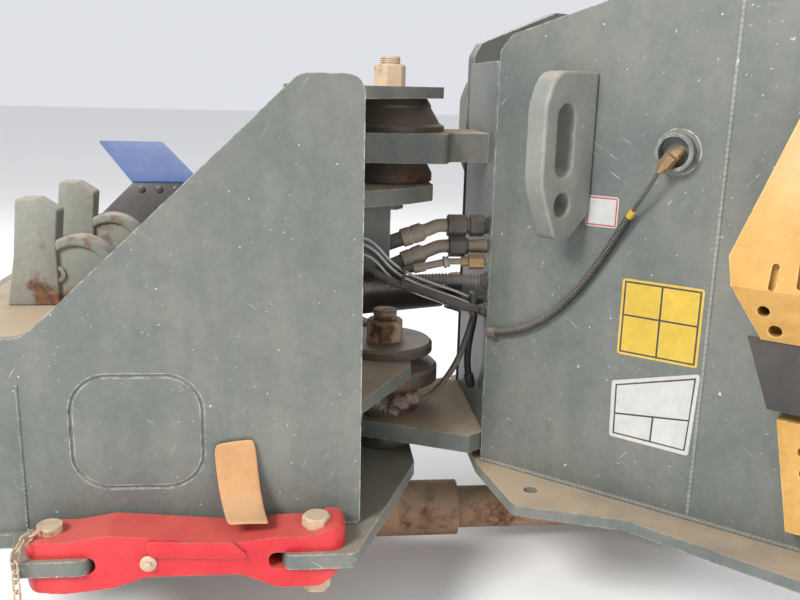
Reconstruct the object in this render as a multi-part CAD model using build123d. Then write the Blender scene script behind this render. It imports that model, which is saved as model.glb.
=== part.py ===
from build123d import *
import math
import os

# Pivot joint of an articulated site dumper chassis, in millimetres.
# X runs from the skip end to the engine end, Z is up, and the photographed side is at -Y.
# Pieces are drawn about the pivot line, with heights from the top of the upper pivot plate,
# and are moved to the mounting face's centre when they are written.
PIVOT_X = 760.0
MOUNT_DROP = 565.0

# Levels of top faces, and thicknesses, of the plates that the pivot pins pass through
UPPER_TOP, UPPER_T = 0.0, 20.0
UPPER_LUG_TOP, UPPER_LUG_T = -82.0, 53.0
UPPER_EAR_TOP, UPPER_EAR_T = -178.0, 29.0
CLEVIS_TOP, CLEVIS_T = -520.0, 25.0
LUG_TOP, LUG_T = -645.0, 35.0
BASE_TOP, BASE_T = -715.0, 25.0
FLOOR_TOP, FLOOR_T = -700.0, 20.0

# Front frame
FRONT_HALF_W = 370.0
SIDE_T = 20.0
SIDE_END_X = -68.0
SIDE_PEAK = 17.0
SIDE_PEAK_X = -165.0
DECK_TOP, DECK_T = -391.0, 16.0
DECK_EDGE_X = -593.0
DECK_END_X = -430.0
MOUNT_T = 20.0
BASE_LIP = 7.0
BASE_HALF_W = FRONT_HALF_W + BASE_LIP
WEB_X, WEB_T = -190.0, 20.0
GUSSET_Y, GUSSET_T = 120.0, 16.0
GUSSET_BOTTOM = -400.0
GUSSET_END_X = -5.0
PANEL = dict(x0=-530.0, x1=-319.0, z0=-643.0, z1=-448.0, corner=62.0, groove=6.0, depth=3.0)

# Lock bar and the two base plate tabs it is stowed on
LOCK_BOLT_X = -141.0
LOCK_PIN_X = -555.0
LOCK_HOLE_R = 15.0
TAB_HALF_L = 62.0
TAB_RIM = 33.0
BAR_HALF_W = 38.0
BAR_CLEAR = 5.0
LOCK_Y = -(BASE_HALF_W + BAR_CLEAR + BAR_HALF_W)
TAB_REACH = -LOCK_Y + LOCK_HOLE_R + TAB_RIM
BAR_FORK_GAP = 34.0
BAR_PRONG_T = 27.0
BAR_FORK_DEPTH = 118.0
BAR_SEAT = 0.3
BAR_MID = BASE_TOP + BAR_SEAT - BAR_FORK_GAP / 2
BAR_HALF_H = BAR_FORK_GAP / 2 + BAR_PRONG_T

# Rear frame
FLARE = 40.0
FLARE_Y = 7.0
REAR_T = 16.0
NOSE_S = 232.0
NOSE_TOP = 73.0
REAR_TOP = 170.0
REAR_END_X = 740.0
BULKHEAD_T = 20.0
NOSE_X, NOSE_T = 180.0, 16.0
LEDGE_HOLE = (243.0, 293.0)
LEDGE_HOLE_R = 12.5

# Pivot pins and bearings
UPPER_PIN_R, UPPER_NUT_AF, UPPER_NUT_H = 18.0, 55.0, 40.0
LOWER_PIN_R, LOWER_NUT_AF, LOWER_NUT_H = 22.5, 70.0, 42.0
PIN_TIP = 14.0
PIN_HEAD_H = 26.0
PIN_FIT = 0.05
SWING_GAP = 2.0
CAP_R, CAP_T = 97.0, 20.0
CONE_TOP_R, CONE_R = 72.0, 106.0
LOWER_RING_R = 85.0
HOUSING_R = 108.0

# Steering ram: both pins lie on one circle about the pivot line, so the two halves stay in line
RAM_CIRCLE = 345.0
RAM_FRONT_ANGLE, RAM_REAR_ANGLE = 165.0, 55.0
STEER_LIMIT = 33.0
RAM_Z = -470.0
RAM_PIN_R = 15.0
RAM_EYE_R, RAM_EYE_T = 30.0, 36.0
RAM_EYE_GAP = 2.0
RAM_NECK_L, RAM_BASE_L = 52.0, 26.0
RAM_ROD_R, RAM_BORE_R, RAM_TUBE_R = 18.0, 24.0, 30.0
RAM_GLAND_L, RAM_PISTON_L = 30.0, 20.0
RAM_END_SPARE = 8.0
RAM_EAR_T, RAM_EAR_R = 16.0, 34.0

# Propeller shaft in two telescoping halves between bearings on the two frames
SHAFT_Z = -880.0
SHAFT_JOINT_X = 560.0
SHAFT_R, SHAFT_WALL = 58.0, 6.0
SLIP_R = 44.0
SHAFT_FRONT_L, SHAFT_REAR_L = 720.0, 620.0
YOKE_IN, YOKE_OUT, YOKE_HALF_W = 33.0, 47.0, 23.0
YOKE_TIP, YOKE_L = 22.0, 62.0
TRUNNION_R = 11.0
HANGER_T = 24.0

FLARE_C = math.cos(math.radians(FLARE))
FLARE_S = math.sin(math.radians(FLARE))
TO_MOUNT = Location((PIVOT_X, 0, MOUNT_DROP))


def outline(points):
    """Flat face through corners given as (across, up, corner radius)."""
    face = make_face(Polyline(*[(a, b) for a, b, _ in points], close=True))
    for a, b, radius in points:
        if radius:
            corner = face.vertices().sort_by_distance((a, b, 0))[0]
            face = fillet(corner, radius)
    return face


def level_plate(points, top, thick):
    """Level plate from its plan outline, with its top face at the given height."""
    return Pos(0, 0, top - thick) * extrude(outline(points), thick)


def upright(points, far_y, thick):
    """Upright plate along X from its side outline, between far_y and far_y - thick."""
    return Pos(0, far_y, 0) * Rot(90, 0, 0) * extrude(outline(points), thick)


def crosswise(points, x, thick):
    """Upright plate across the frame from its (y, z) outline, from x to x + thick."""
    return Plane.YZ.offset(x) * extrude(outline(points), thick)


def post(radius, bottom, top, x=0.0, y=0.0):
    """Upright round bar."""
    return Pos(x, y, bottom) * Cylinder(radius, top - bottom, align=(Align.CENTER, Align.CENTER, Align.MIN))


def hexagon(flats, bottom, height, x=0.0, y=0.0, turn=0.0):
    """Upright hexagon with chamfered rims, as a nut or bolt head."""
    prism = extrude(RegularPolygon(flats / 2, 6, major_radius=False, rotation=turn), height)
    rim = Cylinder(flats / 2 * 1.12, height, align=(Align.CENTER, Align.CENTER, Align.MIN))
    rim = chamfer(rim.faces().sort_by(Axis.Z)[-1].edges(), flats * 0.09)
    return Pos(x, y, bottom) * (prism & rim)


def mirrored(points):
    """Plan outline closed by its mirror image across the centre line."""
    other = [(x, -y, r) for x, y, r in reversed(points)]
    return points + other


INNER_W = FRONT_HALF_W - SIDE_T


def front_side(far_y):
    profile = [
        (-PIVOT_X + MOUNT_T, BASE_TOP, 0),
        (SIDE_END_X, BASE_TOP, 0),
        (SIDE_END_X, SIDE_PEAK, 28),
        (SIDE_PEAK_X, SIDE_PEAK, 40),
        (DECK_EDGE_X, DECK_TOP, 60),
        (-PIVOT_X + MOUNT_T, DECK_TOP, 0),
    ]
    return upright(profile, far_y, SIDE_T)


def panel_groove(y_face):
    """Groove round the welded-in panel of a side plate."""
    p = PANEL
    w, h = p["x1"] - p["x0"], p["z1"] - p["z0"]
    ring = RectangleRounded(w, h, p["corner"]) - RectangleRounded(
        w - 2 * p["groove"], h - 2 * p["groove"], p["corner"] - p["groove"])
    ring = Pos((p["x0"] + p["x1"]) / 2, y_face, (p["z0"] + p["z1"]) / 2) * Rot(90, 0, 0) * ring
    return extrude(ring, p["depth"], both=True)


def front_sides():
    near = front_side(-INNER_W) - panel_groove(-FRONT_HALF_W)
    return {"front_side_near": near, "front_side_far": mirror(near, about=Plane.XZ)}


def front_mount_plate():
    profile = [(-FRONT_HALF_W, BASE_TOP - BASE_T, 0), (FRONT_HALF_W, BASE_TOP - BASE_T, 0),
               (FRONT_HALF_W, DECK_TOP, 0), (-FRONT_HALF_W, DECK_TOP, 0)]
    return crosswise(profile, -PIVOT_X, MOUNT_T)


def front_base_plate():
    """Base plate with the two lock bar tabs on the near side."""
    start, tip = -PIVOT_X + MOUNT_T, (52, 131)
    points = [(start, -BASE_HALF_W, 0)]
    for x in (LOCK_PIN_X, LOCK_BOLT_X):
        points += [(x - TAB_HALF_L - 8, -BASE_HALF_W, 0), (x - TAB_HALF_L + 15, -TAB_REACH, 14),
                   (x + TAB_HALF_L, -TAB_REACH, 14)]
        if x == LOCK_PIN_X:
            points += [(x + TAB_HALF_L + 20, -BASE_HALF_W, 0)]
    points += [(tip[0], -tip[1], 22), (tip[0], tip[1], 22), (SIDE_END_X, BASE_HALF_W, 30),
               (start, BASE_HALF_W, 0)]
    plate = level_plate(points, BASE_TOP, BASE_T)
    plate -= post(LOWER_PIN_R + PIN_FIT, BASE_TOP - BASE_T, BASE_TOP)
    for x in (LOCK_PIN_X, LOCK_BOLT_X):
        plate -= post(LOCK_HOLE_R, BASE_TOP - BASE_T, BASE_TOP, x, LOCK_Y)
    return plate


def front_web():
    low, high = BASE_TOP, UPPER_TOP - UPPER_T
    wall = crosswise([(-INNER_W, low, 0), (INNER_W, low, 0), (INNER_W, CLEVIS_TOP - CLEVIS_T, 0),
                      (-INNER_W, CLEVIS_TOP - CLEVIS_T, 0)], WEB_X, WEB_T)
    upper = crosswise([(-INNER_W, CLEVIS_TOP, 0), (INNER_W, CLEVIS_TOP, 0), (INNER_W, high, 0),
                       (-INNER_W, high, 0)], WEB_X, WEB_T)
    for side in (-1, 1):
        upper -= Pos(WEB_X + WEB_T / 2, side * 148, RAM_Z) * Box(3 * WEB_T, 206, 112)
    return {"front_web_low": wall, "front_web_high": upper}


def front_ears():
    """Plates of the front frame that the two pivot pins pass through."""
    root = WEB_X + WEB_T
    plates = {}
    specs = (
        ("upper_plate", UPPER_TOP, UPPER_T, (40, 150), (91, 95), UPPER_PIN_R, WEB_X),
        ("upper_ear", UPPER_EAR_TOP, UPPER_EAR_T, (25, 140), (78, 85), UPPER_PIN_R, root),
        ("clevis_plate", CLEVIS_TOP, CLEVIS_T, (-60, 300), (42, 120), LOWER_PIN_R, -460.0),
    )
    for name, top, thick, shoulder, tip, pin_r, start in specs:
        half = INNER_W if name != "upper_ear" else 200.0
        near = [(start, -half, 0), (SIDE_END_X, -half, 0), (shoulder[0], -shoulder[1], 12), (tip[0], -tip[1], 12)]
        plate = level_plate(mirrored(near), top, thick)
        plates[name] = plate - post(pin_r + PIN_FIT, top - thick, top)
    return plates


def front_gussets():
    root = WEB_X + WEB_T
    profile = [(root, UPPER_EAR_TOP - UPPER_EAR_T, 0), (GUSSET_END_X, UPPER_EAR_TOP - UPPER_EAR_T, 0),
               (GUSSET_END_X, GUSSET_BOTTOM + 90, 0), (root, GUSSET_BOTTOM, 0)]
    near = upright(profile, -GUSSET_Y + GUSSET_T / 2, GUSSET_T)
    return near + mirror(near, about=Plane.XZ)


def front_deck():
    plate = level_plate([(-PIVOT_X + MOUNT_T, -INNER_W, 0), (DECK_END_X, -INNER_W, 0),
                         (DECK_END_X, INNER_W, 0), (-PIVOT_X + MOUNT_T, INNER_W, 0)], DECK_TOP, DECK_T)
    return plate


def upper_pin():
    bottom = UPPER_EAR_TOP - UPPER_EAR_T
    top = UPPER_TOP + UPPER_NUT_H + PIN_TIP
    pin = post(UPPER_PIN_R, bottom - PIN_HEAD_H, top)
    return pin + hexagon(UPPER_NUT_AF, bottom - PIN_HEAD_H, PIN_HEAD_H)


def upper_nut():
    return hexagon(UPPER_NUT_AF, UPPER_TOP, UPPER_NUT_H, turn=12) - post(
        UPPER_PIN_R + PIN_FIT, UPPER_TOP, UPPER_TOP + UPPER_NUT_H)


def lower_pin():
    bottom = BASE_TOP - BASE_T
    top = CLEVIS_TOP + CAP_T + LOWER_NUT_H + PIN_TIP + 6
    pin = post(LOWER_PIN_R, bottom - PIN_HEAD_H, top)
    return pin + hexagon(LOWER_NUT_AF, bottom - PIN_HEAD_H, PIN_HEAD_H)


def lower_nut():
    seat = CLEVIS_TOP + CAP_T
    return hexagon(LOWER_NUT_AF, seat, LOWER_NUT_H, turn=20) - post(
        LOWER_PIN_R + PIN_FIT, seat, seat + LOWER_NUT_H)


def lower_cap():
    disc = post(CAP_R, CLEVIS_TOP, CLEVIS_TOP + CAP_T)
    disc = chamfer(disc.faces().sort_by(Axis.Z)[-1].edges(), 5)
    return disc - post(LOWER_PIN_R + PIN_FIT, CLEVIS_TOP, CLEVIS_TOP + CAP_T)


def cone_ring():
    """Dirt cone bolted on the upper lug, turned with three steps."""
    low, high = UPPER_LUG_TOP, UPPER_TOP - UPPER_T - SWING_GAP
    rise = high - low
    bore = UPPER_PIN_R + PIN_FIT
    rim = [(bore, low), (CONE_R, low), (CONE_R, low + rise * 0.16), (CONE_R - 9, low + rise * 0.24),
           (CONE_TOP_R + 8, low + rise * 0.72), (CONE_TOP_R + 8, low + rise * 0.8),
           (CONE_TOP_R, high), (bore, high)]
    return revolve(Plane.XZ * make_face(Polyline(*rim, close=True)), Axis.Z)


def lower_ring():
    """Seal ring under the upper lug."""
    low, high = UPPER_EAR_TOP + SWING_GAP, UPPER_LUG_TOP - UPPER_LUG_T
    bore = UPPER_PIN_R + PIN_FIT
    rim = [(bore, low), (LOWER_RING_R, low), (LOWER_RING_R, low + 14), (LOWER_RING_R - 14, high), (bore, high)]
    return revolve(Plane.XZ * make_face(Polyline(*rim, close=True)), Axis.Z)


def upper_lug():
    head, neck = 130.0, 82.0
    near = [(-98, -head + 35, 30), (-60, -head, 30), (95, -head, 14), (108, -neck, 14), (NOSE_X, -neck, 0)]
    lug = level_plate(mirrored(near), UPPER_LUG_TOP, UPPER_LUG_T)
    return lug - post(UPPER_PIN_R + PIN_FIT, UPPER_LUG_TOP - UPPER_LUG_T, UPPER_LUG_TOP)


def lower_lug():
    near = [(-95, -20, 30), (-70, -70, 20), (150, -171, 6), (NOSE_X, -150, 0)]
    lug = level_plate(mirrored(near), LUG_TOP, LUG_T)
    return lug - post(LOWER_PIN_R + PIN_FIT, LUG_TOP - LUG_T, LUG_TOP)


def lower_housing():
    """Bearing housing on the lower lug, under the clevis plate."""
    low, high = LUG_TOP, CLEVIS_TOP - CLEVIS_T - SWING_GAP
    bore = LOWER_PIN_R + PIN_FIT
    rim = [(bore, low), (70, low), (70, low + 62), (HOUSING_R, low + 66), (HOUSING_R, high - 6),
           (HOUSING_R - 6, high), (bore, high)]
    return revolve(Plane.XZ * make_face(Polyline(*rim, close=True)), Axis.Z)


def lower_seal():
    low, high = BASE_TOP + SWING_GAP, LUG_TOP - LUG_T
    bore = LOWER_PIN_R + PIN_FIT
    rim = [(bore, low), (66, low), (66, low + 10), (58, high), (bore, high)]
    return revolve(Plane.XZ * make_face(Polyline(*rim, close=True)), Axis.Z)


NEAR_FACE = Plane(origin=(0, -FLARE_Y, 0), x_dir=(FLARE_C, -FLARE_S, 0), z_dir=(-FLARE_S, -FLARE_C, 0))


def along(s):
    """Plan point on the near side plate's outer face, s from the plate's line at x = 0."""
    return s * FLARE_C, -FLARE_Y - s * FLARE_S


def rear_sides():
    end_s = REAR_END_X / FLARE_C
    profile = [(NOSE_S, FLOOR_TOP, 0), (end_s, FLOOR_TOP, 0), (end_s, REAR_TOP, 0), (517, REAR_TOP, 60),
               (NOSE_S + 22, NOSE_TOP + 18, 20), (NOSE_S, NOSE_TOP - 10, 16)]
    near = NEAR_FACE * extrude(outline(profile), -REAR_T)
    near -= Pos(REAR_END_X + 50, 0, -300) * Box(100, 2000, 2000)
    return {"rear_side_near": near, "rear_side_far": mirror(near, about=Plane.XZ)}


def inner_half_w(x):
    """Half width between the rear side plates' inner faces."""
    return FLARE_Y + x * FLARE_S / FLARE_C - REAR_T / FLARE_C


def nose_plate():
    half = inner_half_w(NOSE_X) - 0.3
    return crosswise([(-half, FLOOR_TOP, 0), (half, FLOOR_TOP, 0), (half, NOSE_TOP - 25, 20),
                      (-half, NOSE_TOP - 25, 20)], NOSE_X, NOSE_T)


def rear_floor():
    near = [(166, -174, 16), (199, -348, 24), (376, -412, 30), (568, -604, 30), (REAR_END_X, -748, 0)]
    plate = level_plate(mirrored(near), FLOOR_TOP, FLOOR_T)
    return plate - post(LEDGE_HOLE_R, FLOOR_TOP - FLOOR_T, FLOOR_TOP, LEDGE_HOLE[0], -LEDGE_HOLE[1])


def rear_bulkhead():
    half = FLARE_Y + REAR_END_X * FLARE_S / FLARE_C
    wall = crosswise([(-half, FLOOR_TOP - FLOOR_T, 0), (half, FLOOR_TOP - FLOOR_T, 0), (half, REAR_TOP, 0),
                      (-half, REAR_TOP, 0)], REAR_END_X, BULKHEAD_T)
    window = crosswise([(-400, -560, 80), (400, -560, 80), (400, 30, 80), (-400, 30, 80)],
                       REAR_END_X - 5, BULKHEAD_T + 10)
    return wall - window


def lifting_eye():
    """Slotted lifting eye that stands out from the near side plate."""
    profile = [(0, -205, 0), (0, 30, 0), (-70, 30, 30), (-126, -30, 50), (-126, -150, 40), (-70, -262, 26),
               (-28, -238, 20)]
    plate = extrude(outline(profile), 30)
    plate -= extrude(Pos(-72, -70) * SlotOverall(125, 48, rotation=90), 30)
    plate -= extrude(Pos(-55, -200) * Circle(22), 30)
    x, y = along(409)
    frame = Plane(origin=(x, y, 0), x_dir=(0.80, 0.60, 0), z_dir=(0.60, -0.80, 0))
    return frame * plate


def rear_eyes():
    near = lifting_eye() - (NEAR_FACE * Pos(400, 0, -REAR_T) * Box(600, 1500, 2 * REAR_T + 0.6))
    near = near.solids().sort_by(SortBy.VOLUME)[-1]
    return {"lifting_eye_near": near, "lifting_eye_far": mirror(near, about=Plane.XZ)}


def polar(radius, angle):
    return radius * math.cos(math.radians(angle)), radius * math.sin(math.radians(angle))


RAM_FRONT = polar(RAM_CIRCLE, RAM_FRONT_ANGLE)
RAM_REAR = polar(RAM_CIRCLE, RAM_REAR_ANGLE)
RAM_HEADING = math.degrees(math.atan2(RAM_REAR[1] - RAM_FRONT[1], RAM_REAR[0] - RAM_FRONT[0]))


def ram_length(steer):
    """Distance between the ram's pins at a steering angle."""
    apex = RAM_FRONT_ANGLE - RAM_REAR_ANGLE - steer
    return 2 * RAM_CIRCLE * math.sin(math.radians(apex / 2))


RAM_BORE_START = RAM_NECK_L + RAM_BASE_L
RAM_ROD_L = ram_length(STEER_LIMIT) - RAM_BORE_START - RAM_END_SPARE
RAM_TUBE_L = ram_length(-STEER_LIMIT) - RAM_ROD_L + RAM_PISTON_L + RAM_END_SPARE + RAM_GLAND_L


def along_x(radius, start, end):
    """Round bar along X."""
    low, high = min(start, end), max(start, end)
    return Pos(low, 0, 0) * Rot(0, 90, 0) * Cylinder(radius, high - low, align=(Align.CENTER, Align.CENTER, Align.MIN))


def ram_rod():
    """Rod half of the steering ram, drawn along +X from its eye."""
    eye = post(RAM_EYE_R, -RAM_EYE_T / 2, RAM_EYE_T / 2)
    rod = along_x(RAM_ROD_R, 0, RAM_ROD_L)
    piston = along_x(RAM_BORE_R - 1, RAM_ROD_L - RAM_PISTON_L, RAM_ROD_L)
    body = eye + rod + piston - post(RAM_PIN_R + PIN_FIT, -RAM_EYE_T, RAM_EYE_T)
    return Pos(*RAM_FRONT, RAM_Z) * Rot(0, 0, RAM_HEADING) * body


def ram_tube():
    """Tube half of the steering ram, drawn along -X from its eye."""
    eye = post(RAM_EYE_R, -RAM_EYE_T / 2, RAM_EYE_T / 2)
    neck = Pos(-RAM_NECK_L / 2 - 4, 0, 0) * Box(RAM_NECK_L, 1.5 * RAM_EYE_R, RAM_EYE_T)
    tube = along_x(RAM_TUBE_R, -RAM_NECK_L, -RAM_TUBE_L)
    gland = along_x(RAM_TUBE_R + 4, -RAM_TUBE_L + RAM_GLAND_L, -RAM_TUBE_L)
    bore = along_x(RAM_BORE_R, -RAM_BORE_START, -RAM_TUBE_L + RAM_GLAND_L)
    mouth = along_x(RAM_ROD_R + 0.5, -RAM_TUBE_L + RAM_GLAND_L + 10, -RAM_TUBE_L - 10)
    body = eye + neck + tube + gland - bore - mouth - post(RAM_PIN_R + PIN_FIT, -RAM_EYE_T, RAM_EYE_T)
    return Pos(*RAM_REAR, RAM_Z) * Rot(0, 0, RAM_HEADING) * body


RAM_EAR_FACE = RAM_EYE_T / 2 + RAM_EYE_GAP


def ram_pin(place):
    half = RAM_EAR_FACE + RAM_EAR_T
    pin = post(RAM_PIN_R, RAM_Z - half, RAM_Z + half, *place)
    return pin + post(RAM_PIN_R + 9, RAM_Z + half, RAM_Z + half + 8, *place)


def ram_front_bracket():
    """Bracket on the clevis plate for the rod's eye."""
    x, y = RAM_FRONT
    top = RAM_Z + RAM_EAR_FACE + RAM_EAR_T
    back = x - RAM_EYE_R - 12
    profile = [(x + RAM_EAR_R, CLEVIS_TOP, 0), (x + RAM_EAR_R, RAM_Z - RAM_EAR_FACE, 0),
               (back, RAM_Z - RAM_EAR_FACE, 0), (back, RAM_Z + RAM_EAR_FACE, 0),
               (x + RAM_EAR_R, RAM_Z + RAM_EAR_FACE, 0), (x + RAM_EAR_R, top, 0),
               (back - 20, top, 0), (back - 20, CLEVIS_TOP, 0)]
    block = upright(profile, y + RAM_EAR_R, 2 * RAM_EAR_R)
    plan = Pos(x, y) * Circle(RAM_EAR_R) + Pos(x - 60, y) * Rectangle(120, 2 * RAM_EAR_R)
    block &= Pos(0, 0, CLEVIS_TOP) * extrude(plan, top - CLEVIS_TOP)
    return block - post(RAM_PIN_R + PIN_FIT, RAM_Z - RAM_EAR_FACE - RAM_EAR_T, top, x, y)


def ram_rear_ears():
    """Two ears on the far side plate for the tube's eye."""
    x, y = RAM_REAR
    far = [(p[0], -p[1]) for p in (along(285), along(430))]
    ears = []
    for top in (RAM_Z + RAM_EAR_FACE + RAM_EAR_T, RAM_Z - RAM_EAR_FACE):
        base = make_face(Polyline((far[0][0], far[0][1]), (far[1][0], far[1][1]), (x + 24, y + 25),
                                  (x - 22, y - 26), close=True))
        ear = Pos(0, 0, top - RAM_EAR_T) * extrude(base + Pos(x, y) * Circle(RAM_EAR_R), RAM_EAR_T)
        ears.append(ear - post(RAM_PIN_R + PIN_FIT, top - RAM_EAR_T, top, x, y))
    return ears[0] + ears[1]


def yoke(turn):
    """Fork of a shaft joint, opening towards -X round the joint's centre."""
    plan = Pos(YOKE_L / 2, 0) * Rectangle(YOKE_L, 2 * YOKE_HALF_W) + Circle(YOKE_HALF_W)
    ear = Pos(0, 0, YOKE_IN) * extrude(plan, YOKE_OUT - YOKE_IN)
    fork = ear + mirror(ear, about=Plane.XY) + along_x(YOKE_OUT + 5, YOKE_L, YOKE_L + 20)
    fork -= Cylinder(TRUNNION_R + PIN_FIT, 3 * YOKE_OUT)
    return Rot(turn, 0, 0) * fork


def shaft_half(length, radius, bore):
    """One shaft half along +X from its joint centre, with its yoke."""
    body = yoke(0) + along_x(radius, YOKE_L + 40, length)
    body += Pos(YOKE_L + 30, 0, 0) * Rot(0, 90, 0) * Cone(YOKE_OUT, radius, 20)
    if bore:
        body -= along_x(bore, YOKE_L + 70, length + 10)
    return body


def shafts():
    front = shaft_half(SHAFT_FRONT_L, SHAFT_R, SHAFT_R - SHAFT_WALL)
    rear = shaft_half(SHAFT_REAR_L, SLIP_R, 0)
    return {
        "shaft_front": Pos(-SHAFT_JOINT_X, 0, SHAFT_Z) * front,
        "shaft_rear": Pos(SHAFT_JOINT_X, 0, SHAFT_Z) * Rot(0, 0, 180) * rear,
    }


def hangers():
    """Shaft bearings hung under the two frames, each with its fork and cross."""
    bore_r, hub_r = 30.0, 66.0
    centre = YOKE_L + 52
    bearing = yoke(90) + along_x(bore_r, YOKE_L + 10, centre)
    for turn in (0, 90):
        bearing += Rot(turn, 0, 0) * Cylinder(TRUNNION_R, 2 * YOKE_OUT)
    bearing += Box(34, 34, 34)
    nodes = {}
    for name, under, sign in (("front", BASE_TOP - BASE_T, -1), ("rear", FLOOR_TOP - FLOOR_T, 1)):
        flip = Rot(0, 0, 0 if sign > 0 else 180)
        place = Pos(sign * SHAFT_JOINT_X, 0, SHAFT_Z) * flip
        plate = Plane.YZ * extrude(outline([(-130, under - SHAFT_Z, 0), (130, under - SHAFT_Z, 0),
                                            (80, -80, 50), (-80, -80, 50)]), HANGER_T)
        plate = Pos(centre - HANGER_T / 2, 0, 0) * plate + along_x(hub_r, centre - 26, centre + 26)
        plate -= along_x(bore_r + 1, centre - 30, centre + 30)
        nodes["shaft_hanger_" + name] = place * plate
        stub = bearing + along_x(bore_r, centre, centre + 40)
        nodes["shaft_stub_" + name] = place * stub
    return nodes


def lock_bar():
    """Forked locking bar, stowed along the near side, drawn in side view and cut to plan."""
    mid, half_h = BAR_MID, BAR_HALF_H
    x0, x1 = LOCK_PIN_X - 34, LOCK_BOLT_X + 46
    side = [(x0, mid - half_h + 4, 12), (x0 + 90, mid - half_h, 0), (x0 + 150, mid - half_h + 2, 20),
            (x0 + 200, mid - half_h + 12, 0), (x1 - 190, mid - half_h + 12, 0), (x1 - 140, mid - half_h, 20),
            (x1 - 60, mid - half_h, 0), (x1, mid - half_h + 4, 12), (x1, mid + half_h, 12),
            (x0, mid + half_h, 12)]
    bar = upright(side, LOCK_Y + BAR_HALF_W, 2 * BAR_HALF_W)
    plan = RectangleRounded(x1 - x0, 2 * BAR_HALF_W, 34)
    waist = Pos((x0 + x1) / 2, LOCK_Y) * plan
    bar &= Pos(0, 0, mid - half_h - 5) * extrude(waist, 2 * half_h + 10)
    slot = Box(BAR_FORK_DEPTH, 2 * BAR_HALF_W + 2, BAR_FORK_GAP)
    bar -= Pos(x0 + BAR_FORK_DEPTH / 2 - 1, LOCK_Y, mid) * slot
    bar -= Pos(x1 - BAR_FORK_DEPTH / 2 + 1, LOCK_Y, mid) * slot
    for x in (LOCK_PIN_X, LOCK_BOLT_X):
        bar -= post(LOCK_HOLE_R, mid - half_h, mid + half_h, x, LOCK_Y)
    return bar


def lock_bolt():
    mid, half_h = BAR_MID, BAR_HALF_H
    shank = post(LOCK_HOLE_R - 1.5, mid - half_h - 22, mid + half_h, LOCK_BOLT_X, LOCK_Y)
    head = hexagon(41, mid + half_h, 17, LOCK_BOLT_X, LOCK_Y)
    nut = hexagon(41, mid - half_h - 22, 22, LOCK_BOLT_X, LOCK_Y)
    return shank + head + nut


def stow_pin():
    mid, half_h = BAR_MID, BAR_HALF_H
    shank = post(LOCK_HOLE_R - 1.5, mid - half_h - 14, mid + half_h, LOCK_PIN_X, LOCK_Y)
    head = post(19, mid + half_h, mid + half_h + 12, LOCK_PIN_X, LOCK_Y)
    return shank + head


def skip_pivots():
    """Cast skip pivot saddles on the deck."""
    cast = [(-120, 0, 0), (70, 0, 0), (66, 40, 30), (20, 100, 40), (-18, 122, 20), (-38, 112, 8), (-62, 172, 8),
            (-96, 172, 8), (-104, 110, 20)]
    near = upright([(x - 555, DECK_TOP + z, r) for x, z, r in cast], -130 + 22, 44)
    return {"skip_pivot_near": near, "skip_pivot_far": mirror(near, about=Plane.XZ)}


def build():
    nodes = {
        "front_mount_plate": front_mount_plate(),
        "front_base_plate": front_base_plate(),
        "front_deck": front_deck(),
        "front_gussets": front_gussets(),
        "upper_pivot_pin": upper_pin(),
        "upper_pivot_nut": upper_nut(),
        "lower_pivot_pin": lower_pin(),
        "lower_pivot_nut": lower_nut(),
        "lower_pivot_cap": lower_cap(),
        "upper_dirt_cone": cone_ring(),
        "upper_seal_ring": lower_ring(),
        "lower_bearing_housing": lower_housing(),
        "lower_seal_ring": lower_seal(),
        "upper_lug": upper_lug(),
        "lower_lug": lower_lug(),
        "rear_nose_plate": nose_plate(),
        "rear_floor": rear_floor(),
        "rear_bulkhead": rear_bulkhead(),
        "steering_ram_rod": ram_rod(),
        "steering_ram_tube": ram_tube(),
        "ram_front_pin": ram_pin(RAM_FRONT),
        "ram_rear_pin": ram_pin(RAM_REAR),
        "ram_front_bracket": ram_front_bracket(),
        "ram_rear_ears": ram_rear_ears(),
        "lock_bar": lock_bar(),
        "lock_bolt": lock_bolt(),
        "stow_pin": stow_pin(),
    }
    for group in (front_sides(), front_web(), front_ears(), rear_sides(), rear_eyes(), shafts(), hangers(), skip_pivots()):
        nodes.update(group)
    return nodes


os.makedirs("parts", exist_ok=True)
for node, shape in build().items():
    export_step(TO_MOUNT * shape, "parts/" + node + ".step")
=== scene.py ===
import bpy
import math
from mathutils import Matrix, Vector


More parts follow.
